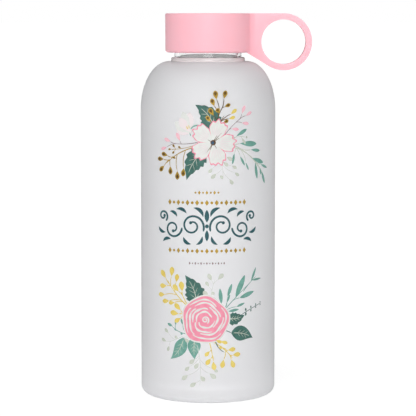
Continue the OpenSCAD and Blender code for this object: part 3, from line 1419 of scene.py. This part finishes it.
    def flower(self) -> None:
        """The big flower: pink under white, so that the pink shows as its edge."""
        folds = ((-22, 0.36, 0.66), (-13, 0.3, 0.78), (-4, 0.32, 0.7), (5, 0.26, 0.8), (14, 0.34, 0.74),
                 (23, 0.4, 0.62))
        stamens = ((48, 0.55), (36, 0.34), (62, 0.36), (236, 0.5), (246, 0.36), (150, 0.26), (300, 0.3))
        steps = 360
        edge, face = [], []
        for i in range(steps):
            angle = 360 * i / steps
            across = abs((angle - 34) % 72 - 36) / 36
            notch = 0.45 * max(0.0, (across - 0.93) / 0.07)
            edge.append(polar(self.centre, self.rim(angle), angle))
            face.append(polar(self.centre, (self.rim(angle) - self.edge_w) * (1 - notch), angle))
        self.put(Ink.ROSE, 7, edge)
        self.put(Ink.WHITE, 8, face)
        for petal in range(5):
            for spread, near, far in folds:
                self.ray(Ink.BLUSH, 70 + 72 * petal + spread, near, far, 0.4)
        for angle, far in stamens:
            self.ray(Ink.BRONZE, angle, 0.08, far, 0.34)
        self.put(Ink.BRONZE, 10, ring(self.centre, 1.5, 20))
        self.put(Ink.NAVY, 11, ring((self.centre[0] - 0.2, self.centre[1] - 0.1), 0.9, 16))

    def ray(self, ink: Ink, angle: float, near: float, far: float, width: float) -> None:
        """A fine line on the flower, away from its centre.

        Args:
            ink: Its ink.
            angle: Its direction, in degrees.
            near: Where it starts, as a share of the flower's radius.
            far: Where it ends.
            width: Its width.
        """
        ends = [polar(self.centre, self.flower_r * share, angle) for share in (near, far)]
        self.put(ink, 9, stroke(along(*ends, 0.03, 6), width, width * 0.6))


@dataclass
class RoseBouquet(PrintedPicture):
    """A pink rose with pale petal lines, among leaves and golden berries."""

    centre: Point = (-0.9, 46.7)
    rose_r: float = 12.7

    def draw(self) -> None:
        """Lays down all the shapes."""
        teal_leaf, sage_leaf = (Ink.TEAL, Ink.MIST), (Ink.SAGE, Ink.MIST)
        yellow, pale = (Ink.YELLOW, Ink.YELLOW), (Ink.WHITE, Ink.MIST)
        self.veined_leaf((-5.6, 53.5), (-12.3, 71.2), 12.0, teal_leaf, 1, bow=-0.1, teeth=6)
        self.veined_leaf((10.5, 47.6), (22.0, 48.6), 7.6, teal_leaf, 1, bow=-0.1, teeth=5)
        self.veined_leaf((13.6, 39.0), (27.6, 35.2), 8.4, teal_leaf, 1, bow=0.08)
        self.put(Ink.TEAL, 1, stroke(along((10.0, 40.6), (13.4, 39.2), 0.05), 0.45))
        self.veined_leaf((-13.0, 36.6), (-21.4, 23.8), 7.4, sage_leaf, 1, bow=0.1)
        self.veined_leaf((-6.6, 37.0), (-6.8, 24.4), 7.4, sage_leaf, 1, bow=-0.04)
        self.sprig(
            along((-9.5, 53.0), (-23.5, 68.0), 0.04, 20),
            [(-26.2, 71.0, 5.4), (-20.4, 72.8, 5.4), (-17.2, 69.4, 4.6), (-26.4, 64.4, 4.8),
             (-27.6, 59.4, 4.6), (-24.6, 56.0, 4.6), (-20.6, 55.4, 3.8)],
            yellow, 3, line=0.55,
        )
        self.sprig(
            along((-9.2, 52.5), (-14.6, 62.0), 0.04, 12), [(-17.9, 63.8, 5.0), (-14.3, 64.9, 5.6)],
            yellow, 3, line=0.55,
        )
        self.sprig(
            along((-9.0, 48.8), (-15.0, 50.0), 0.06, 8),
            [(-16.8, 53.4, 5.0), (-18.8, 49.8, 5.2), (-16.8, 46.0, 4.4)],
            yellow, 3, line=0.55,
        )
        self.sprig(
            along((0.5, 36.0), (14.4, 25.0), 0.06, 18),
            [(14.0, 29.8, 4.4), (16.9, 26.8, 4.6), (14.5, 21.8, 4.8), (8.8, 22.0, 4.8), (9.8, 30.4, 4.6)],
            yellow, 3, line=0.55,
        )
        self.sprig(
            along((1.0, 35.4), (3.2, 24.6), 0.03, 12), [(0.2, 27.8, 3.8), (0.8, 23.4, 4.4), (3.8, 21.0, 4.8)],
            yellow, 3, line=0.5,
        )
        self.sprig(
            along((4.6, 35.4), (9.8, 28.4), -0.12, 10),
            [(6.6, 34.6, 3.6), (9.6, 34.0, 4.0), (7.4, 31.2, 3.6)],
            (Ink.PETROL, Ink.YELLOW), 5, line=0.5, slim=0.5,
        )
        self.sprig(
            along((8.5, 50.6), (26.0, 66.6), 0.03, 22),
            [(7.6, 59.8, 8.6), (12.8, 63.0, 7.4), (19.2, 65.0, 13.0), (23.6, 59.8, 10.0), (19.4, 54.4, 5.4),
             (15.2, 51.6, 6.2), (12.0, 58.4, 4.6)],
            (Ink.SAGE, Ink.SAGE), 1, line=0.4, slim=0.25, belly=0.5, lean=2.2,
        )
        self.sprig(
            along((21.0, 61.6), (30.0, 69.4), 0.05, 14), [(28.2, 70.8, 11.0), (30.6, 67.8, 9.0)],
            (Ink.SAGE, Ink.SAGE), 1, line=0.35, slim=0.13, belly=0.5, lean=1.8,
        )
        self.beaded_stem((19.5, 48.6), (33.6, 54.0))
        self.sprig(
            along((-11.0, 38.6), (-21.0, 43.0), 0.1, 12),
            [(-21.8, 43.0, 4.6), (-18.2, 40.4, 4.6), (-14.4, 38.6, 4.4), (-14.2, 45.4, 3.6),
             (-18.0, 44.8, 3.2)],
            (Ink.SAGE, Ink.SAGE), 1, line=0.4, slim=0.34, belly=0.5,
        )
        self.sprig(
            along((2.0, 58.0), (4.4, 69.0), 0.03, 12),
            [(1.6, 70.4, 4.2), (7.6, 70.6, 4.4), (0.2, 66.6, 3.2), (-0.6, 61.0, 4.4), (3.2, 61.4, 3.6)],
            pale, 1, line=0.4,
        )
        self.sprig(
            along((-5.6, 33.0), (-4.0, 10.0), 0.05, 22),
            [(-8.2, 23.4, 4.0), (-5.7, 21.0, 4.0), (-11.0, 19.2, 3.6), (-12.4, 14.2, 4.4), (-2.4, 13.9, 4.4),
             (3.2, 15.4, 4.6), (4.8, 18.4, 3.0), (-7.6, 10.4, 4.2)],
            pale, 1, line=0.4,
        )
        self.sprig(
            along((-14.0, 37.0), (-25.0, 33.0), 0.05, 12),
            [(-24.0, 39.4, 3.4), (-26.0, 34.0, 3.4), (-17.6, 36.2, 3.0), (-22.8, 29.6, 3.2),
             (-11.4, 35.0, 3.4)],
            pale, 1, line=0.4,
        )
        self.rose()

    def wave(self, angle: float) -> float:
        """How far the rose's edge and lines stand out at an angle in radians, where 1 is a true circle."""
        return 1 + 0.035 * math.sin(5 * angle + 0.6) + 0.025 * math.sin(3 * angle + 2.0)

    def beaded_stem(self, start: Point, end: Point) -> None:
        """A thin stem with pairs of small leaves like beads.

        Args:
            start: Its first point.
            end: Its last point.
        """
        line = along(start, end, 0.03, 12)
        self.put(Ink.TEAL, 1, stroke(line, 0.4, 0.25))
        for i, size in ((3, 2.2), (6, 1.7), (9, 1.4), (12, 1.2)):
            x, z = line[i]
            for side in (1, -1):
                tip = (x - 0.2 * size + 0.1, z + side * size)
                self.put(Ink.TEAL, 2, leaf((x, z), tip, size * 0.5, belly=0.6))

    def rose(self) -> None:
        """The rose: a pale edge, a pink face and rings of pale petal lines."""
        for ink, level, grow in ((Ink.WHITE, 6, 0.8), (Ink.ROSE, 7, 0.0)):
            outline = [
                polar(self.centre, self.rose_r * self.wave(math.radians(3 * i)) + grow, 3 * i)
                for i in range(120)
            ]
            self.put(ink, level, outline)
        x, z = self.centre
        self.put(Ink.WHITE, 8, stroke(spiral((x, z), 2.2, 0.5, -60, 560), 0.8, 0.55))
        rings = ((4.5, 2, 20, 0.95), (6.7, 3, 75, 1.05), (8.9, 3, 10, 1.0), (10.9, 4, 50, 0.85))
        for radius, petals, start, width in rings:
            span = 360 / petals
            for i in range(petals):
                first = start + span * i
                turn = span * (0.98 - 0.12 * (i % 2))
                line, halves = [], []
                for j, (px, pz) in enumerate(spiral((x, z), radius - 0.8, radius + 0.7, first, turn, 22)):
                    wave = self.wave(math.atan2(pz - z, px - x))
                    line.append((x + (px - x) * wave, z + (pz - z) * wave))
                    swell = 1 + 0.25 * math.sin(0.8 * j + i)
                    halves.append(width / 2 * swell * math.sin(math.pi * (0.06 + 0.88 * j / 22)) ** 0.5)
                self.put(Ink.WHITE, 8 + i % 2, widen(line, halves))


@dataclass
class Ornament(PrintedPicture):
    """Mirrored scrollwork between rules of beads and lozenges."""

    def draw(self) -> None:
        """Lays down all the shapes."""
        self.beads(Ink.GOLD, 117.0, 6.4, 2.1, 2.2)
        self.beads(Ink.GOLD, 111.4, 21.6, 2.7, 3.2)
        self.beads(Ink.GOLD, 84.8, 22.4, 2.7, 3.0)
        self.beads(Ink.TWIG, 78.0, 9.6, 1.6, 1.5)
        for side in (1, -1):
            self.scrolls(side)
        self.put(Ink.PETROL, 1, leaf((0.0, 100.6), (0.0, 107.6), 2.6, belly=0.5))
        self.put(Ink.PETROL, 1, leaf((0.0, 96.4), (0.0, 90.2), 2.2, belly=0.5))
        self.put(Ink.PETROL, 1, ring((0.0, 98.5), 1.05, 18))

    def beads(self, ink: Ink, height: float, half: float, pitch: float, size: float) -> None:
        """A row of lozenges and beads in turn.

        Args:
            ink: Its ink.
            height: Height of the row.
            half: Half of its length.
            pitch: Distance from one shape to the next.
            size: Height of a lozenge.
        """
        count = round(half / pitch)
        tall, wide = size / 2, size * 0.34
        for i in range(-count, count + 1):
            x = i * pitch
            lozenge = [(x, height - tall), (x + wide, height), (x, height + tall), (x - wide, height)]
            self.put(ink, 1, ring((x, height), size * 0.24, 14) if i % 2 else lozenge)

    def scrolls(self, side: int) -> None:
        """One half of the scrollwork.

        Args:
            side: 1 for the right half, and -1 for the left.
        """
        width = 1.15
        scrolls = (
            ((8.2, 98.6), 6.9, 205.0, -500.0),
            ((19.6, 97.0), 5.6, 175.0, 450.0),
            ((26.2, 103.6), 3.4, 235.0, -420.0),
        )
        for level, (centre, outer, start, turn) in enumerate(scrolls):
            line = spiral(centre, outer, outer * 0.28, start, turn, 64)
            self.put(Ink.PETROL, 1 + level, self.mirrored(side, stroke(line, width, width * 0.8)))
            self.put(Ink.PETROL, 5, self.mirrored(side, ring(line[-1], width * 0.75, 14)))
        leaves = (
            ((2.0, 103.6), (7.4, 108.6), 2.0, 0.2), ((11.4, 105.4), (17.4, 107.6), 1.9, 0.2),
            ((13.2, 92.4), (8.8, 88.6), 1.9, 0.2), ((2.6, 93.0), (6.0, 88.4), 1.7, -0.2),
            ((17.0, 103.4), (21.6, 106.2), 1.7, 0.2), ((24.6, 94.6), (29.6, 97.4), 1.8, -0.2),
            ((21.0, 90.8), (26.4, 89.2), 1.8, 0.2),
        )
        for start, end, wide, bow in leaves:
            self.put(Ink.PETROL, 4, self.mirrored(side, leaf(start, end, wide, bow, 0.5)))

    def mirrored(self, side: int, loop: Loop) -> Loop:
        """The loop itself where side is 1, and its mirror image where it is -1."""
        return [(side * x, z) for x, z in loop]


# ---------------------------------------------------------------- studio


@dataclass
class Studio:
    """Pale floor, soft light and the camera. Lengths are in metres, and the lens is in millimetres.

    The floor and the air are brighter to the camera than they are as light, so that the background is
    white and the bottle isn't lit too much.
    """

    lens: float = 163.6
    distance: float = 1.0666
    eye: float = 0.2153
    aim_z: float = 0.1054
    floor_r: float = 40.0
    softness: float = 40.0
    lit_share: float = 0.7
    card_glow: float = 0.18
    seen_glow: float = 1.1
    air_light: float = 0.12

    def build(self) -> None:
        """Adds the floor, the lamps, the world's light and the camera."""
        self.add_floor()
        self.add_world()
        for name, place, strength in (
            ("key_light", (-0.9, -0.8, 1.2), 0.8),
            ("fill_light", (0.9, -0.8, 1.2), 0.65),
            ("front_light", (0.0, -1.2, 0.5), 1.5),
            ("back_light", (0.0, 1.2, 0.9), 0.5),
        ):
            self.add_lamp(name, place, strength)
        self.add_camera()
        scene = bpy.context.scene
        scene.view_settings.view_transform = "Standard"
        scene.view_settings.look = "None"

    def add_floor(self) -> None:
        """A wide round floor of white card."""
        bpy.ops.mesh.primitive_circle_add(vertices=64, radius=self.floor_r, fill_type="NGON")
        floor = bpy.context.object
        floor.name = "studio_floor"
        material, tree, surface = blank("white_card")
        card = add_node(
            tree, "BsdfPrincipled",
            {"Base Color": linear("#FFFFFF"), "Roughness": 0.9, "Specular IOR Level": 0.1,
             "Emission Color": linear("#FFFFFF"), "Emission Strength": self.card_glow},
            {},
        )
        glow = add_node(tree, "Emission", {"Color": linear("#FFFFFF"), "Strength": self.seen_glow}, {})
        share = add_node(tree, "Math", {"operation": "MULTIPLY"}, {0: self.straight_view(tree)})
        share.inputs[1].default_value = self.lit_share
        mix = add_node(tree, "MixShader", {}, {0: share.outputs[0], 1: card.outputs[0], 2: glow.outputs[0]})
        tree.links.new(mix.outputs[0], surface)
        floor.data.materials.append(material)

    def add_world(self) -> None:
        """White to the camera and through clear glass, and dim as light."""
        world = bpy.data.worlds.new("studio_air")
        bpy.context.scene.world = world
        world.use_nodes = True
        tree = world.node_tree
        tree.nodes.clear()
        output = add_node(tree, "OutputWorld", {}, {})
        seen = add_node(tree, "Background", {"Color": (1, 1, 1, 1), "Strength": 1.0}, {})
        light = add_node(tree, "Background", {"Color": (1, 1, 1, 1), "Strength": self.air_light}, {})
        mix = add_node(
            tree, "MixShader", {},
            {0: self.straight_view(tree), 1: light.outputs[0], 2: seen.outputs[0]},
        )
        tree.links.new(mix.outputs[0], output.inputs["Surface"])

    def straight_view(self, tree: bpy.types.NodeTree) -> bpy.types.NodeSocket:
        """What splits sight from light, for the world and the stage only.

        Args:
            tree: The node tree that it is added to.

        Returns:
            A socket that is 1 for what is seen straight on or through clear glass, and otherwise 0.
        """
        path = add_node(tree, "LightPath", {}, {})
        either = add_node(
            tree, "Math", {"operation": "MAXIMUM"},
            {0: path.outputs["Is Camera Ray"], 1: path.outputs["Is Singular Ray"]},
        )
        return either.outputs["Value"]

    def add_lamp(self, name: str, place: tuple[float, float, float], strength: float) -> None:
        """A far, wide, soft light that lights the whole floor evenly.

        Args:
            name: The lamp's name.
            place: A point that it shines from, towards the bottle, in metres.
            strength: Its strength, in watts per square metre.
        """
        bpy.ops.object.light_add(type="SUN", location=place)
        lamp = bpy.context.object
        lamp.name = name
        lamp.data.angle = math.radians(self.softness)
        lamp.data.energy = strength
        lamp.rotation_euler = Vector(place).to_track_quat("Z", "Y").to_euler()

    def add_camera(self) -> None:
        """The camera, in front of the bottle at the height of its cap."""
        place = Vector((0, -self.distance, self.eye))
        bpy.ops.object.camera_add(location=place)
        camera = bpy.context.object
        camera.name = "front_camera"
        camera.data.lens = self.lens
        camera.data.sensor_width = 36
        camera.rotation_euler = (place - Vector((0, 0, self.aim_z))).to_track_quat("Z", "Y").to_euler()
        bpy.context.scene.camera = camera


def main() -> None:
    """Builds the bottle, its cap, its print and the studio."""
    logging.basicConfig(level=logging.INFO, format="%(name)s: %(message)s")
    low, high = (Vector(corner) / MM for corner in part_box("bottle"))
    bottle = GlassBottle(body_r=high.x, height=high.z)
    etched = Glass("etched_glass", "#F8F8FA", 0.6, 0.4, etched=True)
    clear = Glass("clear_glass", "#FDFEFE", 0.0, 1.0)
    # the collar glass's faint pink tint is painted: it stands in for the pink cap seen in the collar, a
    # colour the clear glass itself does not have
    hazy = Glass("hazy_mould_seam_glass", "#FDF6F6", 0.12, 0.3)
    LOG.info("glass: %s", bottle.build([etched, clear, hazy]).name)

    low, high = (Vector(corner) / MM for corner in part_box("cap_shell"))
    cap = ScrewCap(cap_r=-low.x, top=high.z)
    shell_plastic = MouldedPlastic("satin_pink_shell", "#FDBBC6", 0.42, 0.5)
    LOG.info("shell: %s", cap.build_shell(shell_plastic).name)
    LOG.info("liner: %s", cap.build_liner(MouldedPlastic("satin_pink_liner", "#F7BBC8", 0.38, 0.6)).name)
    LOG.info("gasket: %s", cap.build_gasket(Silicone("milky_silicone", "#F1F1EF", 0.5)).name)

    for picture in (
        UpperSpray("upper_spray", bottle.skin_r),
        Ornament("ornament", bottle.skin_r),
        RoseBouquet("rose_bouquet", bottle.skin_r),
    ):
        picture.draw()
        for film in picture.build():
            LOG.info("print: %s", film.name)

    Studio().build()


if __name__ == "__main__":
    main()
